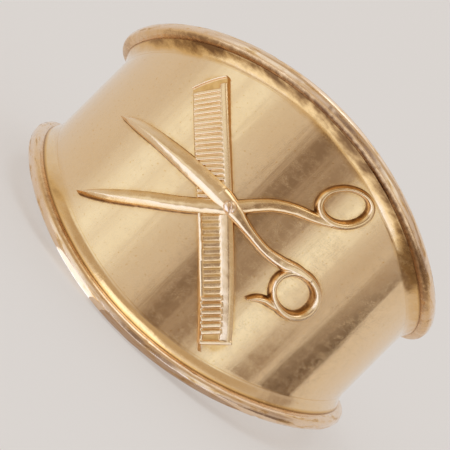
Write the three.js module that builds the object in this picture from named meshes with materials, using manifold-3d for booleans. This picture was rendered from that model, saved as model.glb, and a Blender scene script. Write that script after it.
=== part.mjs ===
// Open-ended ring thimble in polished gold-tone metal: a tapered band, a round wire bead on each
// edge, and a relief of open scissors crossing a comb on the wide face. Millimetres, +Z up.
//
// Every piece is modelled round the bore axis, with the face towards -Y. The group at the end leans
// the ring back until its lower wire rests on the ground at the front and the back, and puts the
// origin at the bottom centre of the resting ring.
//
// Relief shapes are given on the unrolled face: s runs round the band to the right, z runs up the
// bore axis, and height is measured outwards from the band's outer surface.

import * as THREE from "three";
import { mergeVertices } from "three/addons/utils/BufferGeometryUtils.js";
import Module from "manifold-3d";

// Driving dimensions
const BORE_RADIUS = 8.6;
const WALL = 0.7;
const FACE_WIDTH = 15.0;
const BACK_WIDTH = 5.0;
const TAPER_POWER = 2.3;
const WIRE_RADIUS = 0.4;
const EDGE_INSET = 0.35;
const SOLDER_GAP = 0.03;

// Heights of the relief
const COMB_BASE_HEIGHT = 0.12;
const COMB_EDGE_HEIGHT = 0.2;
const COMB_TOOTH_HEIGHT = 0.29;
const COMB_END_HEIGHT = 0.31;
const COMB_HEIGHT = 0.34;
const UNDER_LAP_HEIGHT = 0.3;
const UNDER_HEIGHT = 0.42;
const FINGER_REST_HEIGHT = 0.45;
const OVER_HEIGHT = 0.5;
const SCREW_RIM_HEIGHT = 0.61;
const SCREW_HEIGHT = 0.68;

// Worked out from the driving dimensions
const BAND_RADIUS = BORE_RADIUS + WALL;
const WIRE_RING_RADIUS = BAND_RADIUS + WIRE_RADIUS + SOLDER_GAP;
const FACE_WIRE_Z = FACE_WIDTH / 2 - WIRE_RADIUS;
const BACK_WIRE_Z = BACK_WIDTH / 2 - WIRE_RADIUS;
const REST_LEAN = Math.atan2(FACE_WIRE_Z - BACK_WIRE_Z, 2 * WIRE_RING_RADIUS);

// Faceting
const HOOP_STATIONS = 96;
const WIRE_SIDES = 10;
const LOOP_STATIONS = 28;
const SCREW_SIDES = 16;
const STATION_SPACING = 0.65;

// Solids that are joined are sunk into each other by this much or a part of it, so that no two of
// their faces lie in one surface.
const JOIN_DEPTH = 0.04;

// Heights well under and well over the relief, for cutting right through it.
const UNDER_ALL = -0.5;
const OVER_ALL = 1;

const wasm = await Module();
wasm.setup();

// ---------------------------------------------------------------- solids and their surfaces

// A closed body through rings of points. Each ring turns right-handed about the direction of the
// row of rings. A closed row joins its last ring to its first, and an open one has flat ends.
function loft(rings, isClosedRow) {
  const sides = rings[0].length;
  const positions = rings.flat().flatMap((point) => point.toArray());
  const faces = [];
  const lastRow = isClosedRow ? rings.length : rings.length - 1;
  for (let row = 0; row < lastRow; row += 1) {
    const next = (row + 1) % rings.length;
    for (let side = 0; side < sides; side += 1) {
      const a = row * sides + side;
      const b = row * sides + ((side + 1) % sides);
      const c = next * sides + side;
      const d = next * sides + ((side + 1) % sides);
      faces.push(a, b, c, b, d, c);
    }
  }
  if (!isClosedRow) {
    const end = (rings.length - 1) * sides;
    for (let side = 1; side < sides - 1; side += 1) {
      faces.push(0, side + 1, side);
      faces.push(end, end + side, end + side + 1);
    }
  }
  const geometry = new THREE.BufferGeometry();
  geometry.setAttribute("position", new THREE.Float32BufferAttribute(positions, 3));
  geometry.setIndex(faces);
  return geometry;
}

function toSolid(geometry) {
  const bare = geometry.clone();
  bare.deleteAttribute("normal");
  bare.deleteAttribute("uv");
  const merged = mergeVertices(bare, 1e-5);
  const mesh = new wasm.Mesh({
    numProp: 3,
    vertProperties: new Float32Array(merged.attributes.position.array),
    triVerts: new Uint32Array(merged.index.array),
  });
  return new wasm.Manifold(mesh);
}

function toGeometry(solid) {
  const mesh = solid.getMesh();
  const geometry = new THREE.BufferGeometry();
  geometry.setAttribute("position", new THREE.BufferAttribute(mesh.vertProperties, 3));
  geometry.setIndex(new THREE.BufferAttribute(mesh.triVerts, 1));
  return geometry;
}

function joinAll(geometries) {
  return geometries.map(toSolid).reduce((whole, next) => whole.add(next));
}

// ---------------------------------------------------------------- the band and its wires

// Half of the ring's full width at an angle from the middle of the face.
function halfWidth(angle) {
  const nearness = (1 + Math.cos(angle)) / 2;
  return BACK_WIDTH / 2 + ((FACE_WIDTH - BACK_WIDTH) / 2) * nearness ** TAPER_POWER;
}

function onHoop(angle, radius, z) {
  return new THREE.Vector3(radius * Math.sin(angle), -radius * Math.cos(angle), z);
}

// A closed hoop, from sectionAt(angle), which gives the section's corners as [radius, z].
function hoop(sectionAt) {
  const rings = [];
  for (let station = 0; station < HOOP_STATIONS; station += 1) {
    const angle = (station / HOOP_STATIONS) * 2 * Math.PI;
    rings.push(sectionAt(angle).map(([radius, z]) => onHoop(angle, radius, z)));
  }
  return loft(rings, true);
}

function makeBand() {
  return hoop((angle) => {
    const edge = halfWidth(angle) - EDGE_INSET;
    return [
      [BORE_RADIUS, edge],
      [BAND_RADIUS, edge],
      [BAND_RADIUS, -edge],
      [BORE_RADIUS, -edge],
    ];
  });
}

// A round wire soldered round the outside of the band's edge. side is 1 for the upper edge and -1
// for the lower one.
function makeRimWire(side) {
  return hoop((angle) => {
    const centreZ = side * (halfWidth(angle) - WIRE_RADIUS);
    const section = [];
    for (let corner = 0; corner < WIRE_SIDES; corner += 1) {
      const turn = ((corner + 0.5) / WIRE_SIDES) * 2 * Math.PI;
      const radius = WIRE_RING_RADIUS + WIRE_RADIUS * Math.sin(turn);
      section.push([radius, centreZ + WIRE_RADIUS * Math.cos(turn)]);
    }
    return section;
  });
}

// ---------------------------------------------------------------- relief shapes on the face

function onFace(s, z, height) {
  return onHoop(s / BAND_RADIUS, BAND_RADIUS + height, z);
}

// Sections of relief shapes: [across, rise] pairs, across from 1 on the left edge to -1 on the
// right edge of the way the strip runs, and rise from 0 underneath to 1 on top.
const RIDGED = [[1, 0], [1, 0.45], [0.1, 1], [-1, 0.45], [-1, 0]];
const ROUNDED = [[1, 0], [1, 0.5], [0.5, 1], [-0.5, 1], [-1, 0.5], [-1, 0]];
const SQUARE = [[1, 0], [1, 1], [-1, 1], [-1, 0]];

// A strip that follows points [s, z, half width] on the face, from height low to height high.
function strip(points, section, low, high, extraWidth = 0) {
  const curve = new THREE.CatmullRomCurve3(
    points.map(([s, z, half]) => new THREE.Vector3(s, z, half)),
    false,
    "centripetal",
  );
  const stations = Math.ceil(curve.getLength() / STATION_SPACING);
  const rings = [];
  for (let station = 0; station <= stations; station += 1) {
    const at = curve.getPoint(station / stations);
    const along = curve.getTangent(station / stations).setZ(0).normalize();
    const half = at.z + extraWidth;
    rings.push(section.map(([across, rise]) => onFace(
      at.x - along.y * half * across,
      at.y + along.x * half * across,
      low + (high - low) * rise,
    )));
  }
  return loft(rings, false);
}

// A point on an ellipse {s, z, long, short, tilt} of the face.
function onEllipse({ s, z, long, short, tilt }, turn) {
  const x = long * Math.cos(turn);
  const y = short * Math.sin(turn);
  return [
    s + x * Math.cos(tilt) - y * Math.sin(tilt),
    z + x * Math.sin(tilt) + y * Math.cos(tilt),
  ];
}

// A finger loop: the ring between an inner and an outer ellipse, which needn't share a centre.
function fingerLoop({ inner, outer }, section, low, high) {
  const rings = [];
  for (let station = 0; station < LOOP_STATIONS; station += 1) {
    const turn = (station / LOOP_STATIONS) * 2 * Math.PI;
    const [innerS, innerZ] = onEllipse(inner, turn);
    const [outerS, outerZ] = onEllipse(outer, turn);
    rings.push(section.map(([across, rise]) => {
      const share = (1 - across) / 2;
      const s = innerS + (outerS - innerS) * share;
      const z = innerZ + (outerZ - innerZ) * share;
      return onFace(s, z, low + (high - low) * rise);
    }));
  }
  return loft(rings, true);
}

// ---------------------------------------------------------------- scissors

const PIVOT = { s: -0.33, z: 0.43, headRadius: 0.34, domeRadius: 0.2, shankRadius: 0.13 };
const SCREW_SLOT = { width: 0.1, depth: 0.07 };

const OVER_HALF = {
  blade: [
    [-7.9, -0.14, 0.03], [-7.4, 0.03, 0.2], [-6.6, 0.17, 0.33], [-5.0, 0.34, 0.41],
    [-3.0, 0.47, 0.49], [-1.1, 0.53, 0.51], [-0.1, 0.45, 0.43], [0.95, 0.27, 0.29],
    [2.2, 0.16, 0.26], [3.2, 0.31, 0.3], [4.0, 0.6, 0.26],
  ],
  loop: {
    inner: { s: 4.82, z: -0.31, long: 0.96, short: 0.77, tilt: 0 },
    outer: { s: 4.87, z: -0.28, long: 1.43, short: 1.26, tilt: 0 },
  },
  rest: [
    [4.8, -1.36, 0.16], [4.3, -1.44, 0.21], [3.9, -1.53, 0.22], [3.52, -1.78, 0.18],
    [3.26, -2.08, 0.08],
  ],
};

const UNDER_HALF = {
  blade: [
    [-6.5, -4.15, 0.04], [-5.9, -3.76, 0.22], [-4.9, -3.1, 0.38], [-3.6, -2.17, 0.45],
    [-2.0, -1.02, 0.43], [-0.3, 0.43, 0.4], [0.27, 1.13, 0.35], [0.95, 1.88, 0.33],
    [1.8, 2.47, 0.3], [2.8, 2.92, 0.27], [3.6, 3.32, 0.23],
  ],
  loop: {
    inner: { s: 3.51, z: 4.36, long: 1.03, short: 0.7, tilt: 0.73 },
    outer: { s: 3.54, z: 4.3, long: 1.5, short: 1.09, tilt: 0.66 },
  },
};

// One scissor half. The blade has a ridge between two bevels, and the loop is rounded wire.
function scissorHalf(half, low, high) {
  const pieces = [
    strip(half.blade, RIDGED, low, high),
    fingerLoop(half.loop, ROUNDED, low + JOIN_DEPTH, high + JOIN_DEPTH / 2),
  ];
  if (half.rest) {
    pieces.push(strip(half.rest, ROUNDED, low + JOIN_DEPTH / 2, FINGER_REST_HEIGHT));
  }
  return joinAll(pieces);
}

// The room a scissor half needs between two heights, for cutting the piece it crosses.
function scissorRoom(half, low, high) {
  return toSolid(strip(half.blade, SQUARE, low, high, SOLDER_GAP));
}

// A turned body standing on the face at the pivot, from a profile of [radius, height] points.
function turnedAtPivot(profile) {
  const points = profile.map(([radius, height]) => new THREE.Vector2(radius, height));
  const geometry = new THREE.LatheGeometry(points, SCREW_SIDES);
  const out = onHoop(PIVOT.s / BAND_RADIUS, 1, 0);
  const turn = new THREE.Quaternion().setFromUnitVectors(new THREE.Vector3(0, 1, 0), out);
  geometry.applyQuaternion(turn);
  geometry.translate(...onFace(PIVOT.s, PIVOT.z, 0).toArray());
  return geometry;
}

function screwHole() {
  const radius = PIVOT.shankRadius + SOLDER_GAP;
  const profile = [[0, UNDER_ALL], [radius, UNDER_ALL], [radius, OVER_ALL], [0, OVER_ALL]];
  return toSolid(turnedAtPivot(profile));
}

// A domed head on a short shank, with a slot across it along the comb.
function makePivotScrew() {
  const seat = OVER_HEIGHT + SOLDER_GAP;
  const screw = toSolid(turnedAtPivot([
    [0, SOLDER_GAP],
    [PIVOT.shankRadius, SOLDER_GAP],
    [PIVOT.shankRadius, seat],
    [PIVOT.headRadius, seat],
    [PIVOT.headRadius, (seat + SCREW_RIM_HEIGHT) / 2],
    [PIVOT.domeRadius, (SCREW_RIM_HEIGHT + SCREW_HEIGHT) / 2],
    [0, SCREW_HEIGHT],
  ]));
  const reach = PIVOT.headRadius;
  const half = SCREW_SLOT.width / 2;
  const slotLine = [
    [PIVOT.s - reach, PIVOT.z + reach, half],
    [PIVOT.s, PIVOT.z, half],
    [PIVOT.s + reach, PIVOT.z - reach, half],
  ];
  const slot = toSolid(strip(slotLine, SQUARE, SCREW_HEIGHT - SCREW_SLOT.depth, OVER_ALL));
  return toGeometry(screw.subtract(slot));
}

// ---------------------------------------------------------------- comb

const COMB = {
  from: { s: -5.56, z: 4.01 },
  to: { s: 3.78, z: -4.67 },
  bow: 0.21,
  halfWidth: 0.87,
  spineWidth: 0.5,
  edgeWidth: 0.12,
  endWidth: 0.3,
  finePitch: 0.255,
  coarsePitch: 0.3,
  toothShare: 0.5,
  step: 0.03,
};
const COMB_LENGTH = Math.hypot(COMB.to.s - COMB.from.s, COMB.to.z - COMB.from.z);

// A point of the comb: along from one end, across from its slightly bowed centre line, with
// positive across on the spine's side.
function onComb(along, across) {
  const share = along / COMB_LENGTH;
  const ds = (COMB.to.s - COMB.from.s) / COMB_LENGTH;
  const dz = (COMB.to.z - COMB.from.z) / COMB_LENGTH;
  const side = across + COMB.bow * 4 * share * (1 - share);
  return [COMB.from.s + ds * along - dz * side, COMB.from.z + dz * along + ds * side];
}

// A bar that runs the comb's length between two distances across it, and past each end by extra.
function combBar(acrossLow, acrossHigh, section, low, high, extra = 0) {
  const middle = (acrossLow + acrossHigh) / 2;
  const half = (acrossHigh - acrossLow) / 2;
  const points = [];
  for (let share = 0; share <= 1; share += 0.25) {
    const along = -extra + share * (COMB_LENGTH + 2 * extra);
    points.push([...onComb(along, middle), half]);
  }
  return strip(points, section, low, high);
}

// A bar across the comb between two distances from its centre line: a tooth, or an end plate.
function combCrossBar(along, acrossLow, acrossHigh, width, section, high) {
  const points = [acrossLow, acrossHigh].map(
    (across) => [...onComb(along, across), width / 2],
  );
  return strip(points, section, COMB_BASE_HEIGHT - JOIN_DEPTH, high);
}

// Fine teeth in the first half of the comb and coarse teeth in the second.
function combTeeth() {
  const teeth = [];
  const low = -COMB.halfWidth + COMB.edgeWidth / 2;
  const high = COMB.halfWidth - COMB.spineWidth / 2;
  let along = COMB.endWidth + COMB.finePitch;
  while (along < COMB_LENGTH - COMB.endWidth - COMB.coarsePitch / 2) {
    const pitch = along < COMB_LENGTH / 2 ? COMB.finePitch : COMB.coarsePitch;
    const width = pitch * COMB.toothShare;
    teeth.push(combCrossBar(along, low, high, width, SQUARE, COMB_TOOTH_HEIGHT));
    along += pitch;
  }
  return teeth;
}

// The comb's base plate with its spine, its raised tooth edge, its end plates and its teeth. They
// stand in from the plate's sides and ends by small steps.
function wholeComb() {
  const { halfWidth, spineWidth, edgeWidth, endWidth, step } = COMB;
  const side = halfWidth - step;
  const endSide = side - step;
  const buried = COMB_BASE_HEIGHT - JOIN_DEPTH / 2;
  const firstEnd = step + endWidth / 2;
  const lastEnd = COMB_LENGTH - firstEnd;
  return joinAll([
    combBar(-halfWidth, halfWidth, SQUARE, SOLDER_GAP, COMB_BASE_HEIGHT),
    combBar(side - spineWidth, side, ROUNDED, buried, COMB_HEIGHT, -2 * step),
    combBar(-side, -side + edgeWidth, SQUARE, buried, COMB_EDGE_HEIGHT, -2 * step),
    combCrossBar(firstEnd, -endSide, endSide, endWidth, ROUNDED, COMB_END_HEIGHT),
    combCrossBar(lastEnd, -endSide, endSide, endWidth, ROUNDED, COMB_END_HEIGHT),
    ...combTeeth(),
  ]);
}

// The room the comb's base plate needs, for cutting the pieces that cross it.
function combRoom() {
  const half = COMB.halfWidth + SOLDER_GAP;
  const top = COMB_BASE_HEIGHT + SOLDER_GAP;
  return toSolid(combBar(-half, half, SQUARE, UNDER_ALL, top, SOLDER_GAP));
}

// ---------------------------------------------------------------- the three crossing pieces

// The comb is thinned to its base under the scissors, and the under half is thinned under the
// over half, so that all three lie on the band and pass through each other's place.
function makeRelief() {
  const hole = screwHole();
  const comb = wholeComb()
    .subtract(scissorRoom(OVER_HALF, COMB_BASE_HEIGHT, OVER_ALL))
    .subtract(scissorRoom(UNDER_HALF, COMB_BASE_HEIGHT, OVER_ALL))
    .subtract(hole);
  const under = scissorHalf(UNDER_HALF, SOLDER_GAP, UNDER_HEIGHT)
    .subtract(scissorRoom(OVER_HALF, UNDER_LAP_HEIGHT, OVER_ALL))
    .subtract(combRoom())
    .subtract(hole);
  const over = scissorHalf(OVER_HALF, SOLDER_GAP, OVER_HEIGHT)
    .subtract(scissorRoom(UNDER_HALF, UNDER_ALL, UNDER_LAP_HEIGHT + SOLDER_GAP))
    .subtract(combRoom())
    .subtract(hole);
  return { comb: toGeometry(comb), under: toGeometry(under), over: toGeometry(over) };
}

// ---------------------------------------------------------------- assembly

function polishedMetal(color, roughness) {
  return new THREE.MeshStandardMaterial({ color, roughness, metalness: 1 });
}

const BAND_GOLD = polishedMetal(0xd9b482, 0.22);
const WIRE_GOLD = polishedMetal(0xdcb08a, 0.28);
const COMB_GOLD = polishedMetal(0xdcbc88, 0.32);
const SCISSOR_GOLD = polishedMetal(0xe0b880, 0.26);

function named(name, geometry, material) {
  const mesh = new THREE.Mesh(geometry, material);
  mesh.name = name;
  return mesh;
}

// The ring leans back, and its lower wire touches the ground at the front and the back.
function makeThimble() {
  const relief = makeRelief();
  const ring = new THREE.Group();
  ring.add(
    named("band", makeBand(), BAND_GOLD),
    named("upper_rim_wire", makeRimWire(1), WIRE_GOLD),
    named("lower_rim_wire", makeRimWire(-1), WIRE_GOLD),
    named("comb", relief.comb, COMB_GOLD),
    named("scissor_half_under", relief.under, SCISSOR_GOLD),
    named("scissor_half_over", relief.over, SCISSOR_GOLD),
    named("pivot_screw", makePivotScrew(), SCISSOR_GOLD),
  );
  ring.rotation.x = -REST_LEAN;
  ring.position.y = ((FACE_WIRE_Z - BACK_WIRE_Z) * Math.sin(REST_LEAN)) / 2;
  ring.position.z = WIRE_RADIUS + FACE_WIRE_Z * Math.cos(REST_LEAN)
    - WIRE_RING_RADIUS * Math.sin(REST_LEAN);
  const thimble = new THREE.Group();
  thimble.add(ring);
  return thimble;
}

export default makeThimble();
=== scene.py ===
"""The look of the open-ended ring thimble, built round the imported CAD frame.

Shapes are worked out in millimetres round the bore axis, with the face towards -Y, as in the CAD
source. to_row() then leans them back to the resting pose and turns them into metres.
On the face, s runs round the band to the right, z runs up the bore axis, and height is measured
outwards from the band's outer surface.
"""

import math

import bpy
import numpy as np
from mathutils import Matrix, Vector, noise


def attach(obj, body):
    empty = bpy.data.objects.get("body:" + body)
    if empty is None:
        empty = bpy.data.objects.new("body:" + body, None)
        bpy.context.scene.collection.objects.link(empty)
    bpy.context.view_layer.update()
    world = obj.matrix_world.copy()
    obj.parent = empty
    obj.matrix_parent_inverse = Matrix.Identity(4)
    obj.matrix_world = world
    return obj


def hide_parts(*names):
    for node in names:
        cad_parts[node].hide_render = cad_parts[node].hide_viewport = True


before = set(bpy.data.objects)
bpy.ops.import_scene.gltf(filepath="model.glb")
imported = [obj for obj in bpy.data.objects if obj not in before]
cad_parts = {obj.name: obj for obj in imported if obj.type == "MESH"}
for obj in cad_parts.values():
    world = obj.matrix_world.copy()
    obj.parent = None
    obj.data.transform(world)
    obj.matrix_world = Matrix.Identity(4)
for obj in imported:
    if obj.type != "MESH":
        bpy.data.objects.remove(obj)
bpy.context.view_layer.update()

# ---------------------------------------------------------------- dimensions, in millimetres

BORE_RADIUS = 8.6
BAND_RADIUS = 9.3
FACE_WIDTH = 15.0
BACK_WIDTH = 5.0
TAPER_POWER = 2.3
WIRE_RADIUS = 0.4
EDGE_INSET = 0.35
SOLDER_GAP = 0.03
COMB_HEIGHT = 0.34
COMB_BASE_HEIGHT = 0.2
UNDER_HEIGHT = 0.42
OVER_HEIGHT = 0.5
SCREW_HEIGHT = 0.68
BURIED = -0.05
SLUMP = 0.28
SLUMP_ANGLE = math.radians(-88)
SLUMP_SPREAD = math.radians(30)

CAD_WIRE_RING_RADIUS = BAND_RADIUS + WIRE_RADIUS + SOLDER_GAP
WIRE_RING_RADIUS = BAND_RADIUS + WIRE_RADIUS
FACE_WIRE_Z = FACE_WIDTH / 2 - WIRE_RADIUS
BACK_WIRE_Z = BACK_WIDTH / 2 - WIRE_RADIUS
REST_LEAN = math.atan2(FACE_WIRE_Z - BACK_WIRE_Z, 2 * CAD_WIRE_RING_RADIUS)
RING_SHIFT_Y = (FACE_WIRE_Z - BACK_WIRE_Z) * math.sin(REST_LEAN) / 2
RING_LIFT = (
    WIRE_RADIUS
    + FACE_WIRE_Z * math.cos(REST_LEAN)
    - CAD_WIRE_RING_RADIUS * math.sin(REST_LEAN)
)
MM = 0.001

# ---------------------------------------------------------------- from the ring to the row frame


def on_hoop(angle, radius, z):
    """Points round the bore axis, as an array of [x, y, z] in millimetres."""
    return np.stack([radius * np.sin(angle), -radius * np.cos(angle), z], axis=-1)


def on_face(points):
    """[s, z, height] points of the unrolled face, wrapped round the band."""
    s, z, height = np.asarray(points, float).T
    return on_hoop(s / BAND_RADIUS, BAND_RADIUS + height, z)


def to_row(points):
    """Points of the upright ring in millimetres, leaned back to rest, in metres."""
    x, y, z = np.asarray(points, float).T
    cos, sin = math.cos(REST_LEAN), math.sin(REST_LEAN)
    leaned = np.stack([x, y * cos + z * sin + RING_SHIFT_Y, z * cos - y * sin + RING_LIFT])
    return leaned.T * MM


def wrapped(angles):
    """Angles brought between minus and plus half a turn."""
    return (angles + math.pi) % (2 * math.pi) - math.pi


def around_hoop(angle, stops):
    """The value between stops of [degrees, value] at an angle round the hoop."""
    degrees, values = zip(*stops)
    return np.interp(np.degrees(wrapped(angle)), degrees, values)


def half_width(angle):
    """Half of the ring's full width at an angle from the middle of the face."""
    nearness = (1 + np.cos(angle)) / 2
    return BACK_WIDTH / 2 + (FACE_WIDTH - BACK_WIDTH) / 2 * nearness**TAPER_POWER


def edge_height(angle, side):
    """How far an edge lies from the middle plane. The upper one sags a little on the left."""
    from_slump = (angle - SLUMP_ANGLE) / SLUMP_SPREAD
    slump = SLUMP * np.exp(-(from_slump**2)) * (side > 0)
    return half_width(angle) - slump


# ---------------------------------------------------------------- mesh helpers


def make_object(name, points, faces, smooth=True):
    mesh = bpy.data.meshes.new(name)
    mesh.from_pydata(np.asarray(points).tolist(), [], faces)
    mesh.update()
    if smooth:
        mesh.shade_smooth()
    obj = bpy.data.objects.new(name, mesh)
    bpy.context.scene.collection.objects.link(obj)
    return obj


def tube_faces(rows, sides, closed):
    """Quads through rows of rings, with a flat face on each end of an open tube."""
    faces = []
    for row in range(rows if closed else rows - 1):
        a, b = row * sides, ((row + 1) % rows) * sides
        for side in range(sides):
            other = (side + 1) % sides
            faces.append((a + side, a + other, b + other, b + side))
    if not closed:
        end = (rows - 1) * sides
        faces.append(tuple(reversed(range(sides))))
        faces.append(tuple(end + side for side in range(sides)))
    return faces


def paint(obj, name, values):
    """Stores one number for each vertex, for the materials to read."""
    attribute = obj.data.attributes.new(name, "FLOAT", "POINT")
    attribute.data.foreach_set("value", np.asarray(values, np.float32).ravel())


def store_vectors(mesh, name, vectors):
    """Stores one vector for each vertex, for the materials to read."""
    attribute = mesh.attributes.new(name, "FLOAT_VECTOR", "POINT")
    attribute.data.foreach_set("vector", np.asarray(vectors, np.float32).ravel())


def smooth_noise(points, seed):
    """Smooth noise from about -1 to 1 at each of a list of 3-D points."""
    shift = Vector((seed * 17.3, seed * 5.1, seed * 9.7))
    return np.array([noise.noise(Vector(p) + shift) for p in points])


CURVE_STEPS = 24  # from one point of a curve to the next


def curve_through(points, count):
    """count points evenly along a Catmull-Rom curve, in as many dimensions as the points have."""
    points = np.asarray(points, float)
    ends = [2 * points[0] - points[1], *points, 2 * points[-1] - points[-2]]
    dense = []
    for p0, p1, p2, p3 in zip(ends, ends[1:], ends[2:], ends[3:]):
        t = np.linspace(0, 1, CURVE_STEPS, endpoint=False)[:, None]
        dense.append(
            0.5
            * (
                2 * p1
                + (p2 - p0) * t
                + (2 * p0 - 5 * p1 + 4 * p2 - p3) * t**2
                + (3 * p1 - p0 - 3 * p2 + p3) * t**3
            )
        )
    dense = np.vstack([*dense, points[-1:]])
    steps = np.linalg.norm(np.diff(dense[:, :2], axis=0), axis=1)
    travelled = np.concatenate([[0], np.cumsum(steps)])
    wanted = np.linspace(0, travelled[-1], count)
    return np.stack([np.interp(wanted, travelled, column) for column in dense.T], axis=-1)


# ---------------------------------------------------------------- band

FACE_STATIONS = 480
BACK_STATIONS = 230
FACE_REACH = math.radians(80)
FACE_ROWS = 64
BORE_ROWS = 10
CORNER_ROWS = 5
COVE_ROWS = 10
EDGE_ROUND = 0.14
# From the bore's round edge to the wire, as [distance outside the band, rise past its edge].
RIM_TOP = [(-0.3, 0.0), (-0.15, 0.02), (-0.02, 0.08), (0.08, 0.18)]
INSIDE_WIRE = 0.3
INSIDE_WIRE_RISE = 0.05
INSIDE_WIRE_DEPTH = 0.74
COVE_CLIMB = 0.03
COVE_REACH = 0.68
COVE_HEIGHT = 0.3
COVE_CURVE = 1.7
COVE_WOBBLE = 0.12
WOBBLES_ROUND = 4
# The hand-finished surface, as [height, length round the band, length along the bore, seed].
BAND_UNEVENNESS = [
    (0.007, 2.4, 3.5, 1),
    (0.004, 0.8, 9.0, 2),
    (0.0032, 0.32, 5.0, 5),
    (0.0018, 0.7, 0.7, 3),
]
SEAM_FADE = 0.2


def half_band_section(half, cove_reach):
    """[radius, z] points of the section's upper half, from mid bore over the edge to mid face."""
    edge = half - EDGE_INSET
    bore = [[BORE_RADIUS, z] for z in np.linspace(0, edge - EDGE_ROUND, BORE_ROWS)]
    corner = [
        [
            BORE_RADIUS + EDGE_ROUND * (1 - math.cos(turn)),
            edge - EDGE_ROUND * (1 - math.sin(turn)),
        ]
        for turn in np.linspace(0, math.pi / 2, CORNER_ROWS)[1:]
    ]
    rim_top = [[BAND_RADIUS + outside, edge + rise] for outside, rise in RIM_TOP]
    inside_wire = [
        [BAND_RADIUS + INSIDE_WIRE, edge + INSIDE_WIRE_RISE],
        [BAND_RADIUS + INSIDE_WIRE, half - INSIDE_WIRE_DEPTH],
    ]
    cove_top = half - 2 * WIRE_RADIUS + COVE_CLIMB
    cove = [
        [BAND_RADIUS + COVE_HEIGHT * (1 - t) ** COVE_CURVE, cove_top - t * cove_reach]
        for t in np.linspace(0, 1, COVE_ROWS)
    ]
    foot = cove_top - cove_reach
    face = [[BAND_RADIUS, z] for z in np.linspace(foot, 0, FACE_ROWS // 2 + 1)[1:]]
    return np.array([*bore, *corner, *rim_top, *inside_wire, *cove, *face])


def band_unevenness(angles, z):
    """How far the hand-finished outer surface stands out of true, in millimetres."""
    s = angles * BAND_RADIUS
    uneven = np.zeros(len(s))
    for height, length_round, length_along, seed in BAND_UNEVENNESS:
        places = np.stack([s / length_round, z / length_along, z * 0], -1)
        uneven += height * smooth_noise(places, seed)
    return uneven * away_from_seam(angles)


def hoop_angles():
    """Station angles from the middle of the back all the way round, closer together on the face."""
    left = np.linspace(-math.pi, -FACE_REACH, BACK_STATIONS // 2, endpoint=False)
    face = np.linspace(-FACE_REACH, FACE_REACH, FACE_STATIONS, endpoint=False)
    right = np.linspace(FACE_REACH, math.pi, BACK_STATIONS // 2, endpoint=False)
    return np.concatenate([left, face, right])


def away_from_seam(angles):
    """Falls from 1 to 0 at the middle of the back, so that the unevenness meets itself there."""
    return np.clip((math.pi - np.abs(wrapped(angles))) / SEAM_FADE, 0, 1)


def make_band():
    """The band, with s, z and whether it lies outside, for each of its vertices."""
    angles = hoop_angles()
    places = [(math.sin(a) * WOBBLES_ROUND, math.cos(a) * WOBBLES_ROUND, 0) for a in angles]
    sections = []
    for angle, wobble in zip(angles, smooth_noise(places, 4)):
        reach = COVE_REACH * (1 + COVE_WOBBLE * wobble)
        upper = half_band_section(edge_height(angle, 1), reach)
        lower = half_band_section(edge_height(angle, -1), reach)[-2:0:-1] * [1, -1]
        sections.append(np.vstack([upper, lower]))
    sections = np.array(sections)
    rows, sides = sections.shape[:2]
    radius, z = sections[..., 0], sections[..., 1]
    turned = np.repeat(angles[:, None], sides, axis=1)
    outside = radius >= BAND_RADIUS - 1e-6
    radius = radius + outside * band_unevenness(turned.ravel(), z.ravel()).reshape(z.shape)
    points = on_hoop(turned, radius, z).reshape(-1, 3)
    obj = make_object("band_worn", to_row(points), tube_faces(rows, sides, True))
    return obj, wrapped(turned.ravel()) * BAND_RADIUS, z.ravel(), outside.ravel()


# ---------------------------------------------------------------- rim wires

WIRE_STATIONS = 560
WIRE_SIDES = 28
WIRE_SQUARENESS = 0.86
WIRE_FILL = 0.957
WIRE_FILL_MOST = 0.967
SWELL = 0.02
GRAIN = 0.008
GRAIN_LENGTH = 0.9
# How much finer than the swell the grain and the nicks are, along and round the wire.
GRAIN_FINENESS = [4.0, 3.0, 3.0]
NICK_FINENESS = [2.6, 2.0, 2.0]
NICK_FROM = 0.42
NICK_DEPTH = 0.24
CREVICE_FADE = 0.55
# Tarnish and painted shade on the wires' inner halves, where they face the band, by degrees to the
# right of the middle of the face.
CREVICE_UPPER = [
    (-180, 0.4), (-95, 0.55), (-85, 0.5), (-76, 0.3), (-65, 0.4), (-48, 0.78), (-30, 0.7),
    (-15, 0.85), (0, 0.9),
    (40, 0.88), (60, 0.74), (75, 0.45), (180, 0.4),
]
CREVICE_LOWER = [
    (-180, 0.4), (-75, 0.1), (-60, 0.35), (-45, 0.65), (-20, 0.5), (-4, 0.2), (75, 0.12),
    (180, 0.4),
]


def flattened(share):
    """Squares a circle's sine or cosine slightly, as wear does to a wire."""
    return np.sign(share) * np.abs(share) ** WIRE_SQUARENESS


def wire_radius(turned, turn, seed):
    """The worn wire's radius: a little less than the new wire's, swelling slowly, with nicks."""
    along = (turned * BAND_RADIUS / GRAIN_LENGTH).ravel()
    places = np.stack([along, np.sin(turn).ravel() / 2, np.cos(turn).ravel() / 2], -1)
    slow = smooth_noise(places, seed)
    fine = smooth_noise(places * GRAIN_FINENESS, seed + 1)
    nicks = np.clip(smooth_noise(places * NICK_FINENESS, seed + 2) - NICK_FROM, 0, 1)
    uneven = (SWELL * slow + GRAIN * fine - NICK_DEPTH * nicks).reshape(turn.shape)
    fill = WIRE_FILL + uneven * away_from_seam(turned)
    return WIRE_RADIUS * np.minimum(fill, WIRE_FILL_MOST)


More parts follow.
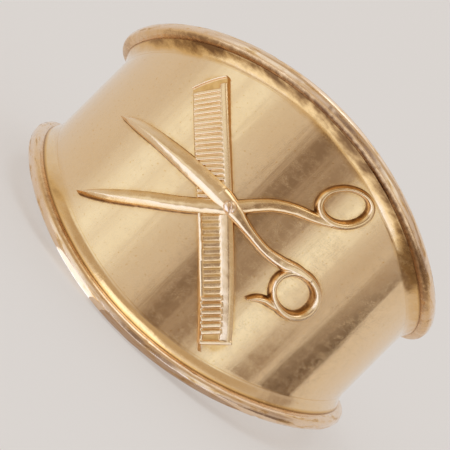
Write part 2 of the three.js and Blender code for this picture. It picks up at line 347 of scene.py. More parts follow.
def make_rim_wire(name, side, seed):
    angles = np.linspace(-math.pi, math.pi, WIRE_STATIONS, endpoint=False)
    turns = np.linspace(0, 2 * math.pi, WIRE_SIDES, endpoint=False)
    turned, turn = np.meshgrid(angles, turns, indexing="ij")
    radius = wire_radius(turned, turn, seed)
    centre_z = side * (edge_height(turned, side) - WIRE_RADIUS)
    outwards = radius * flattened(np.sin(turn))
    upwards = radius * flattened(np.cos(turn))
    points = on_hoop(turned, WIRE_RING_RADIUS + outwards, centre_z + upwards)
    faces = tube_faces(WIRE_STATIONS, WIRE_SIDES, True)
    wire = make_object(name, to_row(points.reshape(-1, 3)), faces)
    # The inner half, which faces the band, gets tarnish and painted shade.
    inward = -side * np.cos(turn)
    strength = around_hoop(turned, CREVICE_UPPER if side > 0 else CREVICE_LOWER)
    paint(wire, "crevice_tarnish_and_shade", np.clip(inward / CREVICE_FADE, 0, 1) * strength)
    unrolled = np.stack([turned * BAND_RADIUS, turn * WIRE_RADIUS, turn * 0], -1)
    store_vectors(wire.data, "face_place", unrolled.reshape(-1, 3))
    return wire


# ---------------------------------------------------------------- relief shapes

STRIP_SAMPLES = 17
STRIP_SPACING = 0.08
LOOP_STATIONS = 96
LOOP_EDGE = 0.5
LOOP_POWER = 2.6
FOOT_FLARE = 0.03
SHOULDER_INSET = 0.035
VOXEL = 0.026
UNEVEN_ABOVE = 0.2
# The cast surface, as [height, length, seed].
CAST_UNEVENNESS = [(0.012, 0.33, 31), (0.03, 1.1, 37)]


def ring_of(left, right, high, edge, power, ridge=0.0):
    """One closed ring over a strip, from its left edge over the top to its right edge.

    edge is the height share of both edges, or a pair for the left and the right one. Power 1 makes
    a sharp ridge, and 2 or more a rounded one. ridge places it, from 1, the left edge, to -1.
    """
    left_edge, right_edge = edge if isinstance(edge, tuple) else (edge, edge)
    across = np.linspace(1, -1, STRIP_SAMPLES)[:, None]
    outward = (left - right) / np.linalg.norm(left - right)
    inset = min(SHOULDER_INSET, np.linalg.norm(left - right) / 4) * outward
    flat = (left - inset) * (1 + across) / 2 + (right + inset) * (1 - across) / 2
    on_left = across > ridge
    from_ridge = np.where(on_left, (across - ridge) / (1 - ridge), (ridge - across) / (1 + ridge))
    edges = np.where(on_left, left_edge, right_edge)
    heights = BURIED + (high - BURIED) * (edges + (1 - edges) * (1 - from_ridge**power))
    top = np.hstack([flat, heights])
    flare = outward * FOOT_FLARE
    return np.vstack([[*(left + flare), BURIED], top, [*(right - flare), BURIED]])


def strip(points, high, edge, powers, ridge=0.0, spacing=STRIP_SPACING):
    """A shell over points [s, z, half width]. powers holds the section's first and last power."""
    length = np.linalg.norm(np.diff(np.asarray(points)[:, :2], axis=0), axis=1).sum()
    count = max(3, int(length / spacing))
    line = curve_through(points, count)
    along = np.gradient(line[:, :2], axis=0)
    along /= np.linalg.norm(along, axis=1)[:, None]
    left = np.stack([-along[:, 1], along[:, 0]], -1) * line[:, 2:3]
    rings = [
        ring_of(point[:2] + offset, point[:2] - offset, high, edge, power, ridge)
        for point, offset, power in zip(line, left, np.linspace(*powers, count))
    ]
    return np.vstack(rings), tube_faces(count, len(rings[0]), False)


def on_ellipse(ellipse, turn):
    """A point of an ellipse, which is (s, z, long radius, short radius, tilt)."""
    s, z, long, short, tilt = ellipse
    x, y = long * math.cos(turn), short * math.sin(turn)
    return np.array(
        [
            s + x * math.cos(tilt) - y * math.sin(tilt),
            z + x * math.sin(tilt) + y * math.cos(tilt),
        ]
    )


def finger_loop(inner, outer, high):
    """A rounded shell between two ellipses."""
    rings = [
        ring_of(on_ellipse(inner, turn), on_ellipse(outer, turn), high, LOOP_EDGE, LOOP_POWER)
        for turn in np.linspace(0, 2 * math.pi, LOOP_STATIONS, endpoint=False)
    ]
    return np.vstack(rings), tube_faces(LOOP_STATIONS, len(rings[0]), True)


def join_shells(shells):
    points, faces, start = [], [], 0
    for shell_points, shell_faces in shells:
        points.append(shell_points)
        faces += [tuple(start + i for i in face) for face in shell_faces]
        start += len(shell_points)
    return np.vstack(points), faces


def melt_together(name, shells, voxel=VOXEL, rounds=5, unevenness=1.0):
    """One cast-looking closed piece from overlapping shells of the unrolled face."""
    raw = make_object(name + "_raw", *join_shells(shells))
    remesh = raw.modifiers.new("melt", "REMESH")
    remesh.mode = "VOXEL"
    remesh.voxel_size = voxel
    wear = raw.modifiers.new("wear", "SMOOTH")
    wear.factor = 0.5
    wear.iterations = rounds
    bpy.context.view_layer.update()
    evaluated = raw.evaluated_get(bpy.context.evaluated_depsgraph_get())
    mesh = bpy.data.meshes.new_from_object(evaluated)
    bpy.data.objects.remove(raw)
    flat = np.empty(len(mesh.vertices) * 3)
    mesh.vertices.foreach_get("co", flat)
    flat = flat.reshape(-1, 3)
    raised = unevenness * np.clip(flat[:, 2] / UNEVEN_ABOVE, 0, 1)
    for height, length, seed in CAST_UNEVENNESS:
        flat[:, 2] += height * raised * smooth_noise(flat / length, seed)
    mesh.vertices.foreach_set("co", to_row(on_face(flat)).ravel())
    store_vectors(mesh, "face_place", flat)
    mesh.shade_smooth()
    mesh.update()
    obj = bpy.data.objects.new(name, mesh)
    bpy.context.scene.collection.objects.link(obj)
    return obj


# ---------------------------------------------------------------- scissors

PIVOT_S = -0.33
PIVOT_Z = 0.43
SCREW_RADIUS = 0.34
SCREW_FOOT = OVER_HEIGHT - 0.1
SCREW_RINGS = 14
SCREW_SIDES = 40
SCREW_DOME = 0.8
SLOT_DEPTH = 0.12
SLOT_HALF_WIDTH = 0.07
SLOT_UNTIL = 0.97
# Blades run from a sharp ridge at the tip to a rounded one, nearer to their right edge.
BLADE_RIDGE = -0.25
BLADE_EDGES = (0.6, 0.72)
BLADE_POWERS = (1.1, 2.0)
SHANK_EDGE = 0.68
SHANK_POWERS = (3.2, 4.0)
UNDER_SHANK_HEIGHT = 0.38
LOOP_LOWERED = 0.95
REST_LOWERED = 0.85
REST_EDGE = 0.45
REST_POWERS = (2.2, 2.2)

OVER_BLADE = [
    [-7.9, -0.14, 0.03], [-7.4, 0.03, 0.2], [-6.6, 0.17, 0.33], [-5.0, 0.34, 0.41],
    [-3.0, 0.47, 0.49], [-1.1, 0.53, 0.51], [-0.1, 0.45, 0.43],
]
OVER_SHANK = [
    [-1.1, 0.53, 0.5], [-0.1, 0.45, 0.43], [0.95, 0.27, 0.29], [2.2, 0.16, 0.26],
    [3.2, 0.31, 0.3], [4.0, 0.6, 0.26], [4.8, 0.74, 0.2],
]
OVER_LOOP = [(4.82, -0.31, 0.96, 0.77, 0.0), (4.87, -0.28, 1.43, 1.26, 0.0)]
FINGER_REST = [
    [4.8, -1.36, 0.16], [4.3, -1.44, 0.21], [3.9, -1.53, 0.22], [3.52, -1.78, 0.18],
    [3.26, -2.08, 0.08],
]
UNDER_BLADE = [
    [-6.5, -4.15, 0.04], [-5.9, -3.76, 0.2], [-4.9, -3.1, 0.33], [-3.6, -2.17, 0.39],
    [-2.0, -1.02, 0.4], [-0.3, 0.43, 0.4],
]
UNDER_SHANK = [
    [-0.8, 0.0, 0.4], [-0.3, 0.43, 0.4], [0.27, 1.13, 0.35], [0.95, 1.88, 0.33],
    [1.8, 2.47, 0.3], [2.8, 2.92, 0.27], [3.6, 3.32, 0.23],
]
UNDER_LOOP = [(3.51, 4.36, 1.03, 0.7, 0.73), (3.54, 4.3, 1.5, 1.09, 0.66)]


def make_over_half():
    return melt_together(
        "scissor_half_over_worn",
        [
            strip(OVER_BLADE, OVER_HEIGHT, BLADE_EDGES, BLADE_POWERS, BLADE_RIDGE),
            strip(OVER_SHANK, OVER_HEIGHT, SHANK_EDGE, SHANK_POWERS),
            finger_loop(*OVER_LOOP, OVER_HEIGHT * LOOP_LOWERED),
            strip(FINGER_REST, OVER_HEIGHT * REST_LOWERED, REST_EDGE, REST_POWERS),
        ],
    )


def make_under_half():
    return melt_together(
        "scissor_half_under_worn",
        [
            strip(UNDER_BLADE, UNDER_HEIGHT, BLADE_EDGES, BLADE_POWERS, BLADE_RIDGE),
            strip(UNDER_SHANK, UNDER_SHANK_HEIGHT, SHANK_EDGE, SHANK_POWERS),
            finger_loop(*UNDER_LOOP, UNDER_HEIGHT * LOOP_LOWERED),
        ],
    )


def make_pivot_screw():
    """A domed head with a slot. It is modelled flat and wrapped like the rest of the relief."""
    rings, turns = SCREW_RINGS, SCREW_SIDES
    points = [[PIVOT_S, PIVOT_Z, SCREW_HEIGHT - SLOT_DEPTH]]
    for ring in range(1, rings + 1):
        share = ring / rings
        radius = SCREW_RADIUS * math.sin(share * math.pi / 2)
        dome = math.cos(share * math.pi / 2) ** SCREW_DOME
        rise = SCREW_FOOT + (SCREW_HEIGHT - SCREW_FOOT) * dome
        for turn in np.linspace(0, 2 * math.pi, turns, endpoint=False):
            x, y = radius * math.cos(turn), radius * math.sin(turn)
            from_slot = abs(x + y) / math.sqrt(2) / SLOT_HALF_WIDTH
            cut = SLOT_DEPTH * max(0.0, 1 - from_slot**4) if share < SLOT_UNTIL else 0.0
            points.append([PIVOT_S + x, PIVOT_Z + y, rise - cut])
    faces = [(0, 1 + t, 1 + (t + 1) % turns) for t in range(turns)]
    for ring in range(rings - 1):
        a, b = 1 + ring * turns, 1 + (ring + 1) * turns
        for t in range(turns):
            u = (t + 1) % turns
            faces.append((a + t, b + t, b + u, a + u))
    last = 1 + (rings - 1) * turns
    faces.append(tuple(last + t for t in reversed(range(turns))))
    return make_object("pivot_screw_worn", to_row(on_face(points)), faces)


# ---------------------------------------------------------------- comb

COMB_FROM = np.array([-5.56, 4.01])
COMB_TO = np.array([3.78, -4.67])
COMB_LENGTH = float(np.linalg.norm(COMB_TO - COMB_FROM))
COMB_BOW = 0.21
COMB_HALF = 0.87
COMB_WIDER_AT_TOP = 0.035
COMB_NARROWING = 0.12
COMB_MIDDLE = COMB_LENGTH * 0.5
TOP_SLANT = 0.19
TOP_ARCH = 0.07
FOOT_SLANT = -0.06
FINE_SPINE_FROM = 0.46
COARSE_SPINE_FROM = 0.2
BARS_END = COMB_LENGTH - 0.12
# Bars along the comb, as [start, end, side, other side, height, edge share, power, ridge].
COMB_BARS = [
    # The spine, low and rounded beside the fine teeth, high and ridged beside the coarse ones.
    (0.2, COMB_MIDDLE + 0.3, FINE_SPINE_FROM, COMB_HALF, 0.29, 0.86, 3.0, 0.0),
    (COMB_MIDDLE - 0.2, BARS_END, COARSE_SPINE_FROM, COMB_HALF, COMB_HEIGHT, 0.78, 1.2, 0.2),
    # The border at the coarse teeth's tips, clearest just below the crossing and at the foot.
    (COMB_MIDDLE, BARS_END, -COMB_HALF, -COMB_HALF + 0.22, 0.26, 0.95, 1.2, 0.5),
    (COMB_MIDDLE, COMB_MIDDLE + 2.3, -COMB_HALF, -COMB_HALF + 0.24, 0.31, 0.84, 1.2, 0.5),
    (BARS_END - 0.5, BARS_END + 0.4, -COMB_HALF + 0.03, -COMB_HALF + 0.19, 0.31, 0.84, 1.2, 0.5),
]
BAR_POINTS = 7
BAR_SPACING = 0.3
TOP_BAR = 0.12
FOOT_BAR = 0.24
FOOT_BAR_INSET = 0.13
CROSS_BAR_EDGE = 0.95
CROSS_BAR_POWERS = (1.2, 1.2)
CROSS_BAR_RIDGE = 0.8
CROSS_BAR_POINTS = 5
CROSS_BAR_SPACING = 0.15
END_WIDTH = 0.3
FINE_PITCH = 0.255
COARSE_PITCH = 0.315
TOOTH_WIDTH = 0.84  # as a share of the pitch
TOOTH_FROM = -COMB_HALF + 0.06
TOOTH_INTO_SPINE = 0.05
TOOTH_LEAN = 0.05
TOOTH_UNEVENNESS = 0.02
FINE_TOOTH_HEIGHT = 0.3
WORN_TOOTH_HEIGHT = 0.236
END_TOOTH_HEIGHT = 0.34
WORN_UNTIL = 0.8
COMB_VOXEL = 0.028
COMB_WEAR_ROUNDS = 3
COMB_UNEVENNESS = 0.5


def on_comb(along, across):
    """A point along the comb and across its bowed centre line, positive towards the spine."""
    direction = (COMB_TO - COMB_FROM) / COMB_LENGTH
    side = np.array([-direction[1], direction[0]])
    share = along / COMB_LENGTH
    across = across * (1 + COMB_WIDER_AT_TOP - COMB_NARROWING * share)
    return COMB_FROM + direction * along + side * (across + COMB_BOW * 4 * share * (1 - share))


def top_along(across):
    """Where the slanted, slightly arched top end lies at a place across the comb."""
    share = across / COMB_HALF
    return -TOP_SLANT * share - TOP_ARCH * (1 - share**2)


def foot_along(across):
    """Where the slightly slanted foot lies at a place across the comb."""
    return COMB_LENGTH - FOOT_SLANT * across / COMB_HALF


def comb_plate():
    """The flat base that the teeth stand on, as a prism with the comb's whole outline."""
    acrosses = np.linspace(-COMB_HALF, COMB_HALF, 9)
    alongs = np.linspace(0, COMB_LENGTH, 24)[1:-1]
    outline = [on_comb(top_along(a), a) for a in acrosses]
    outline += [on_comb(along, COMB_HALF) for along in alongs]
    outline += [on_comb(foot_along(a), a) for a in acrosses[::-1]]
    outline += [on_comb(along, -COMB_HALF) for along in alongs[::-1]]
    rings = [[[*point, height] for point in outline] for height in (BURIED, COMB_BASE_HEIGHT)]
    return np.vstack(rings), tube_faces(2, len(outline), False)


def comb_bar(start, end, side, other_side, high, edge, power, ridge):
    """A bar along the comb, between two places across it."""
    middle, half = (side + other_side) / 2, (other_side - side) / 2
    alongs = np.linspace(start, end, BAR_POINTS)
    points = [[*on_comb(along, middle), half] for along in alongs]
    return strip(points, high, edge, (power, power), ridge, BAR_SPACING)


def comb_cross_bar(along_at, start, end, width, high):
    """A bar across the comb, between two places. along_at gives its middle line."""
    acrosses = np.linspace(start, end, CROSS_BAR_POINTS)
    points = [[*on_comb(along_at(across), across), width / 2] for across in acrosses]
    return strip(points, high, CROSS_BAR_EDGE, CROSS_BAR_POWERS, CROSS_BAR_RIDGE, CROSS_BAR_SPACING)


def comb_end(middle_line, width):
    """A bar along the whole of the comb's top end or foot."""
    return comb_cross_bar(middle_line, -COMB_HALF, COMB_HALF, width, COMB_HEIGHT)


def tooth_height(share, count):
    """Teeth stand clear near the ends, and are worn nearly flat below the crossing."""
    uneven = TOOTH_UNEVENNESS * noise.noise(Vector((count * 1.7, 0.3, 0)))
    if share < 0.5:
        return FINE_TOOTH_HEIGHT + uneven
    if share < WORN_UNTIL:
        return WORN_TOOTH_HEIGHT + uneven / 2
    return END_TOOTH_HEIGHT + uneven


def comb_teeth():
    """Fine teeth down to the crossing, and coarse ones below it."""
    teeth, along = [], END_WIDTH + FINE_PITCH
    while along < COMB_LENGTH - END_WIDTH - COARSE_PITCH / 2:
        fine = along < COMB_MIDDLE
        pitch = FINE_PITCH if fine else COARSE_PITCH
        spine = FINE_SPINE_FROM if fine else COARSE_SPINE_FROM
        lean = TOOTH_LEAN * max(0.0, 1 - along / COMB_MIDDLE)

        def middle_line(across, along=along, lean=lean):
            return along - lean * across / COMB_HALF

        end, width = spine + TOOTH_INTO_SPINE, pitch * TOOTH_WIDTH
        high = tooth_height(along / COMB_LENGTH, len(teeth))
        teeth.append(comb_cross_bar(middle_line, TOOTH_FROM, end, width, high))
        along += pitch
    return teeth


def make_comb():
    """The plate with its spine and border, a bar along each end, and the teeth."""
    bars = [comb_bar(*bar) for bar in COMB_BARS]
    top = comb_end(lambda across: top_along(across) + TOP_BAR / 2, TOP_BAR)
    foot = comb_end(lambda across: foot_along(across) - FOOT_BAR_INSET, FOOT_BAR)
    shells = [comb_plate(), *bars, top, foot, *comb_teeth()]
    return melt_together("comb_worn", shells, COMB_VOXEL, COMB_WEAR_ROUNDS, COMB_UNEVENNESS)


# ---------------------------------------------------------------- patina and painted shade on the band

FAR_FROM_WIRE = 5.0
RELIEF_S = (-9.0, 7.0)
RELIEF_Z = (-6.5, 6.5)
RELIEF_HALO = 0.4
COMB_HALO_INSET = 0.6
LINE_SAMPLES = 160
LOOP_SAMPLES = 90
VERTICES_AT_A_TIME = 4000
COVE_CLEARANCE = 0.05
COVE_FADE = 0.7
# Tarnish and painted shade in the coves beside the wires, by degrees to the right of the middle of
# the face.
COVE_UPPER = [
    (-180, 0.4), (-80, 0.4), (-62, 0.8), (-45, 1.15), (-30, 0.9), (-15, 0.95), (-5, 1.0),
    (18, 1.0), (28, 0.85), (36, 0.75), (45, 0.85), (60, 0.6), (75, 0.45), (180, 0.4),
]
COVE_LOWER = [
    (-180, 0.4), (-75, 0.05), (-60, 0.25), (-45, 0.62), (-30, 0.2), (-15, 0.1), (0, 0.1),
    (15, 0.15), (35, 0.1), (60, 0.0), (75, 0.0), (180, 0.4),
]
# How far from the wires that tarnish and painted shade reach.
COVE_UPPER_REACH = [
    (-180, 0.5), (-70, 0.5), (-45, 0.75), (-30, 0.55), (-15, 0.6), (0, 0.8), (18, 0.8),
    (30, 0.42), (45, 0.75), (60, 0.65), (180, 0.5),
]
COVE_LOWER_REACH = 0.85


def relief_lines():
    """[s, z, half width] samples down the middle of every relief shape."""
    lines = [
        curve_through(points, LINE_SAMPLES)
        for points in (OVER_BLADE, OVER_SHANK, FINGER_REST, UNDER_BLADE, UNDER_SHANK)
    ]
    for inner, outer in (OVER_LOOP, UNDER_LOOP):
        for turn in np.linspace(0, 2 * math.pi, LOOP_SAMPLES):
            a, b = on_ellipse(inner, turn), on_ellipse(outer, turn)
            lines.append([[*((a + b) / 2), np.linalg.norm(a - b) / 2]])
    alongs = np.linspace(COMB_HALO_INSET, COMB_LENGTH - COMB_HALO_INSET, LINE_SAMPLES)
    comb = [[*on_comb(along, 0), COMB_HALF] for along in alongs]
    return np.vstack([*lines, comb])


def distance_to_relief(s, z, reach):
    """Distance from the edge of the nearest relief shape, up to reach."""
    found = np.full(len(s), reach)
    lines = relief_lines()
    in_s = (s > RELIEF_S[0]) & (s < RELIEF_S[1])
    near = np.flatnonzero(in_s & (z > RELIEF_Z[0]) & (z < RELIEF_Z[1]))
    for start in range(0, len(near), VERTICES_AT_A_TIME):
        part = near[start : start + VERTICES_AT_A_TIME]
        gap = np.hypot(s[part, None] - lines[:, 0], z[part, None] - lines[:, 1]) - lines[:, 2]
        found[part] = np.clip(gap.min(axis=1), 0, reach)
    return found


def paint_band(obj, s, z, outside):
    """Stores how near the relief is, and how far the wire is, where brown tarnish and painted shade
    go.
    """
    by_relief = 1 - distance_to_relief(s, z, RELIEF_HALO) / RELIEF_HALO
    from_edge = edge_height(s / BAND_RADIUS, np.sign(z)) - np.abs(z)
    from_wire = from_edge - 2 * WIRE_RADIUS
    angle = s / BAND_RADIUS
    strength = np.where(z > 0, around_hoop(angle, COVE_UPPER), around_hoop(angle, COVE_LOWER))
    reach_down = np.where(z > 0, around_hoop(angle, COVE_UPPER_REACH), COVE_LOWER_REACH)
    # cove holds the tarnish and painted shade beside the wires.
    cove = np.clip(1 - (from_wire - COVE_CLEARANCE) / reach_down, 0, 1) ** COVE_FADE * strength
    paint(obj, "by_relief", by_relief * outside)
    paint(obj, "cove", cove * outside)
    paint(obj, "from_wire", np.where(outside, from_wire, FAR_FROM_WIRE))
    store_vectors(obj.data, "face_place", np.stack([s, z, z * 0], -1))


# ---------------------------------------------------------------- material building


class Nodes:
    """Short calls for making and linking the nodes of one tree."""

    def __init__(self, tree):
        self.tree = tree

    def add(self, kind, **settings):
        node = self.tree.nodes.new(kind)
        for name, value in settings.items():
            setattr(node, name, value)
        return node

    def link(self, output, target):
        self.tree.links.new(output, target)

    def feed(self, node, values):
        for name, value in values.items():
            if isinstance(value, bpy.types.NodeSocket):
                self.link(value, node.inputs[name])
            else:
                node.inputs[name].default_value = value

    def math(self, operation, a, b=0.0, clamp=False):
        node = self.add("ShaderNodeMath", operation=operation, use_clamp=clamp)
        self.feed(node, {0: a, 1: b})
        return node.outputs[0]

    def ramp(self, value, stops):
        node = self.add("ShaderNodeValToRGB")
        elements = node.color_ramp.elements
        while len(elements) < len(stops):
            elements.new(0.5)
        for element, (position, color) in zip(elements, stops):
            element.position = position
            element.color = color if len(color) == 4 else (*color, 1)
        self.link(value, node.inputs["Fac"])
        return node.outputs["Color"]

    def map_range(self, value, low, high, to_low=0.0, to_high=1.0):
        node = self.add("ShaderNodeMapRange")
        self.feed(node, {0: value, 1: low, 2: high, 3: to_low, 4: to_high})
        return node.outputs[0]

    def mix(self, factor, a, b, blend="MIX"):
        node = self.add("ShaderNodeMix", data_type="RGBA", blend_type=blend)
        self.feed(node, {0: factor, 6: a, 7: b})
        return node.outputs[2]

    def noise(self, vector, scale, detail=3.0, roughness=0.5):
        node = self.add("ShaderNodeTexNoise")
        self.feed(
            node, {"Vector": vector, "Scale": scale, "Detail": detail, "Roughness": roughness}
        )
        return node.outputs["Fac"]

    def stretched(self, vector, scale, turn):
        """Coordinates turned about Z and then scaled, for marks that run one way."""
        rotate = self.add("ShaderNodeVectorRotate", rotation_type="Z_AXIS")
        self.feed(rotate, {"Vector": vector, "Angle": math.radians(turn)})
        node = self.add("ShaderNodeVectorMath", operation="MULTIPLY")
        self.feed(node, {0: rotate.outputs[0], 1: scale})
        return node.outputs[0]

    def attribute(self, name):
        return self.add("ShaderNodeAttribute", attribute_name=name).outputs["Fac"]

    def vector_attribute(self, name):
        return self.add("ShaderNodeAttribute", attribute_name=name).outputs["Vector"]

    def position(self):
        """Object coordinates in millimetres."""
        coordinates = self.add("ShaderNodeTexCoord")
        node = self.add("ShaderNodeVectorMath", operation="SCALE")
        self.feed(node, {0: coordinates.outputs["Object"], "Scale": 1 / MM})
        return node.outputs[0]


def scratches(nodes, vector, turns, density):
    """Thin lines in several directions, 1 on a scratch and 0 elsewhere."""
    total = 0.0
    for index, turn in enumerate(turns):
        drawn_out = nodes.stretched(vector, (0.35, 16.0, 16.0), turn)
        lines = nodes.noise(drawn_out, 1.0 + 0.13 * index, 1.0)
        from_line = nodes.math("ABSOLUTE", nodes.math("SUBTRACT", lines, 0.5))
        thin = nodes.map_range(from_line, 0.012, 0.0)
        broken = nodes.noise(nodes.stretched(vector, (0.5, 1.5, 1.5), turn + 7), 1.7, 1.0)
        gate = nodes.map_range(broken, 1 - density, 1 - density + 0.04)
        total = nodes.math("MAXIMUM", nodes.math("MULTIPLY", thin, gate), total)
    return total


def drawn_lines(nodes, face):
    """Fine lines along the bore axis, left when the sheet was drawn and polished."""
    wide = nodes.noise(nodes.stretched(face, (1.6, 0.1, 1.0), 0), 1.0, 1.0)
    fine = nodes.noise(nodes.stretched(face, (6.5, 0.22, 1.0), 0), 1.0, 2.0)
    hair = nodes.noise(nodes.stretched(face, (22.0, 0.5, 1.0), 0), 1.0, 1.0)
    total = nodes.math("ADD", wide, nodes.math("MULTIPLY", fine, 0.6))
    return nodes.math("ADD", total, nodes.math("MULTIPLY", hair, 0.22))


GOLD = (0.90, 0.645, 0.355)
ROSE_GOLD = (0.90, 0.675, 0.47)
# What the wider, warmer patches multiply the gold by.
WARMED = (0.96, 0.9, 0.78)
# What tarnish and painted shade multiply the gold by, from thin to thick.
YELLOWED = (0.9, 0.78, 0.55)
BROWNED = (0.5, 0.38, 0.24)
BLACKENED = (0.24, 0.16, 0.1)
SCRATCH_TURNS = (12, 64, 118, 155)
MICROMETRE = 1e-6


def tarnished_gold(nodes, gold, place, tarnished_and_shaded):
    """Gold that is warmer in wide patches, and darker with tarnish and painted shade."""
    warm = nodes.map_range(nodes.noise(place, 0.35, 3.0), 0.35, 0.68, 0.0, 0.4)
    deep = tuple(part * share for part, share in zip(gold, WARMED))
    base = nodes.mix(warm, (*gold, 1), (*deep, 1))
    tones = [(0.0, (1, 1, 1)), (0.45, YELLOWED), (0.75, BROWNED), (1.0, BLACKENED)]
    return nodes.mix(1.0, base, nodes.ramp(tarnished_and_shaded, tones), blend="MULTIPLY")


def worn_roughness(nodes, roughness, mottle, tarnished_and_shaded, marks):
    """Rougher where the metal is mottled or scratched, and where tarnish and painted shade lie."""
    rough = nodes.math("ADD", nodes.map_range(mottle, 0.4, 0.7, 0.0, 0.06), roughness)
    rough = nodes.math("ADD", rough, nodes.math("MULTIPLY", tarnished_and_shaded, 0.2))
    return nodes.math("ADD", rough, nodes.math("MULTIPLY", marks, 0.12), clamp=True)


def worn_height(nodes, place, mottle, marks, relief_um):
    """The height of the mottled, speckled and scratched surface, in micrometres."""
    speckle = nodes.noise(place, 13.0, 3.0, 0.65)
    height = nodes.math("MULTIPLY", mottle, 0.5)
    height = nodes.math("ADD", height, nodes.math("MULTIPLY", speckle, 0.65))
    height = nodes.math("SUBTRACT", height, nodes.math("MULTIPLY", marks, 0.5))
    return nodes.math("MULTIPLY", height, relief_um)


def worn_metal(name, gold, roughness, relief_um, tarnish, lines_um=0.0, scratch_density=0.45):
    """Polished gold-tone metal with golden to brown tarnish and painted shade, mottled wear and
    fine scratches.

    tarnish is called with the node helper and the mottling, and returns a 0 to 1 socket of tarnish
    and painted shade.
    relief_um and lines_um are the heights of the mottled wear and of the drawn lines.
    """
    material = bpy.data.materials.new(name)
    material.use_nodes = True
    nodes = Nodes(material.node_tree)
    place = nodes.position()
    mottle = nodes.noise(place, 3.2, 5.0, 0.62)
    marks = scratches(nodes, place, SCRATCH_TURNS, scratch_density)
    tarnished_and_shaded = tarnish(nodes, mottle)
    height = worn_height(nodes, place, mottle, marks, relief_um)
    if lines_um:
        lines = drawn_lines(nodes, nodes.vector_attribute("face_place"))
        height = nodes.math("ADD", height, nodes.math("MULTIPLY", lines, lines_um))
    bump = nodes.add("ShaderNodeBump")
    nodes.feed(bump, {"Height": height, "Strength": 1.0, "Distance": MICROMETRE})
    look = {
        "Metallic": 1.0,
        "Base Color": tarnished_gold(nodes, gold, place, tarnished_and_shaded),
        "Roughness": worn_roughness(nodes, roughness, mottle, tarnished_and_shaded, marks),
        "Normal": bump.outputs[0],
        "Coat Weight": nodes.map_range(tarnished_and_shaded, 0.05, 0.45, 0.8, 0.0),
        "Coat Roughness": 0.12,
        "Coat IOR": 1.8,
    }
    nodes.feed(material.node_tree.nodes["Principled BSDF"], look)
    return material


def band_tarnish_and_shade(nodes, mottle):
    """Tarnish and painted shade: thin round the relief, thick in the coves, a line at each cove's
    foot, and small pits.
    """
    face = nodes.vector_attribute("face_place")
    blotches = nodes.noise(nodes.stretched(face, (0.8, 1.8, 1.0), 0), 1.0, 3.0, 0.6)
    patchy = nodes.map_range(blotches, 0.35, 0.65, 0.6, 1.2)

    # Painted shade, with some tarnish, round the foot of the relief.
    relief = nodes.math("POWER", nodes.attribute("by_relief"), 3.0)
    relief = nodes.math("MULTIPLY", relief, nodes.map_range(mottle, 0.3, 0.62, 0.1, 0.5))

    from_wire = nodes.attribute("from_wire")
    # Tarnish and painted shade against the wire, at the cove's foot and in the coves.
    gap = nodes.map_range(from_wire, 0.16, -0.02, 0.0, 0.8)
    foot = nodes.math("ABSOLUTE", nodes.math("SUBTRACT", from_wire, COVE_REACH - 0.04))
    crease = nodes.map_range(foot, 0.04, 0.01, 0.0, 0.25)
    rims = nodes.math("MULTIPLY", nodes.attribute("cove"), patchy)
    rims = nodes.math("MAXIMUM", nodes.math("MAXIMUM", rims, gap), crease)
    pits = nodes.map_range(nodes.noise(face, 7.0, 2.0, 0.6), 0.63, 0.72, 0.0, 0.4)
    return nodes.math("MAXIMUM", relief, nodes.math("MAXIMUM", rims, pits), clamp=True)


def wire_tarnish_and_shade(nodes, mottle):
    """Tarnish and painted shade, thick on the inner half, with thin tarnish streaks along the rest
    of the wire.
    """
    face = nodes.vector_attribute("face_place")
    streaks = nodes.noise(nodes.stretched(face, (0.9, 5.0, 1.0), 0), 1.0, 3.0, 0.6)
    streaks = nodes.map_range(streaks, 0.5, 0.66, 0.0, 0.6)
    patchy = nodes.map_range(mottle, 0.3, 0.6, 0.8, 1.15)
    crevice_tarnish_and_shade = nodes.math("MULTIPLY", nodes.attribute("crevice_tarnish_and_shade"), patchy)
    return nodes.math("MAXIMUM", streaks, crevice_tarnish_and_shade, clamp=True)


def screw_tarnish(nodes, mottle):
    return nodes.map_range(mottle, 0.4, 0.7, 0.05, 0.5)


def relief_tarnish_and_shade(top, bottom, strength):
    """Tarnish and painted shade low down in the relief, clearing from the bottom to the top height.
    """

    def amount(nodes, mottle):
        split = nodes.add("ShaderNodeSeparateXYZ")
        nodes.link(nodes.vector_attribute("face_place"), split.inputs[0])
        low = nodes.map_range(split.outputs["Z"], top, bottom, 0.0, strength)
        patchy = nodes.map_range(mottle, 0.25, 0.6, 0.7, 1.1)
        return nodes.math("MULTIPLY", low, patchy, clamp=True)

    return amount


# ---------------------------------------------------------------- studio

VIEW_YAW = 2.9
VIEW_TILT = -1.05
VIEW_ROLL = 45.2
VIEW_DISTANCE = 900.0
VIEW_WIDTH = 21.56
AIM_RIGHT = -0.4
AIM_UP = 0.175
SENSOR = 36.0


def make_camera():
    """Faces the wide side of the ring, from a touch to its right, rolled to the left."""
    lean = Matrix.Rotation(-REST_LEAN, 4, "X")
    yaw, tilt = math.radians(VIEW_YAW), math.radians(VIEW_TILT)
    back = Vector(
        (math.sin(yaw) * math.cos(tilt), -math.cos(yaw) * math.cos(tilt), math.sin(tilt))
    )
    facing = (-back).to_track_quat("-Z", "Y").to_matrix().to_4x4()
    turned = facing @ Matrix.Rotation(math.radians(VIEW_ROLL), 4, "Z")
    aim = turned @ Vector((AIM_RIGHT, AIM_UP, 0))
    ring_centre = Vector((0, RING_SHIFT_Y, RING_LIFT))
    place = lean @ (back * VIEW_DISTANCE + aim) + ring_centre
    data = bpy.data.cameras.new("camera")
    data.sensor_width = SENSOR
    data.lens = SENSOR * VIEW_DISTANCE / VIEW_WIDTH
    data.clip_start, data.clip_end = 0.01, 10
    camera = bpy.data.objects.new("camera", data)
    bpy.context.scene.collection.objects.link(camera)
    camera.matrix_world = Matrix.Translation(place * MM) @ lean @ turned
    bpy.context.scene.camera = camera


